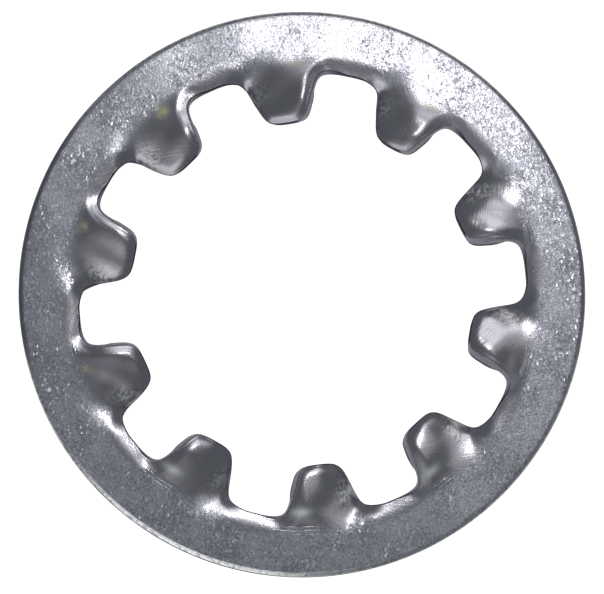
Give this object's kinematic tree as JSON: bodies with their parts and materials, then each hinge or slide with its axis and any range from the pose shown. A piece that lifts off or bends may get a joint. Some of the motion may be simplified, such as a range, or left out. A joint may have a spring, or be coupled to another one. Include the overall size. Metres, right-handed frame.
{
  "type": "toothed lock washer",
  "caption": "Flat round steel ring with short twisted teeth pointing inwards, put under a nut or bolt head to keep it from turning loose.",
  "frame": {"origin": "centre of the washer, on its axis, halfway through the flat rim", "axes": "+Z along the washer's axis, towards the face that the punch entered; one tooth lies on +Y"},
  "size_m": [0.0222, 0.0222, 0.0017],
  "materials": {
    "plated_steel": "spring steel with thin bluish-grey zinc plating: a finely speckled matt rim, smoother dark burnished teeth, bright rolled edges"
  },
  "bodies": {
    "root": {"lock_washer": "plated_steel"}
  },
  "joints": []
}
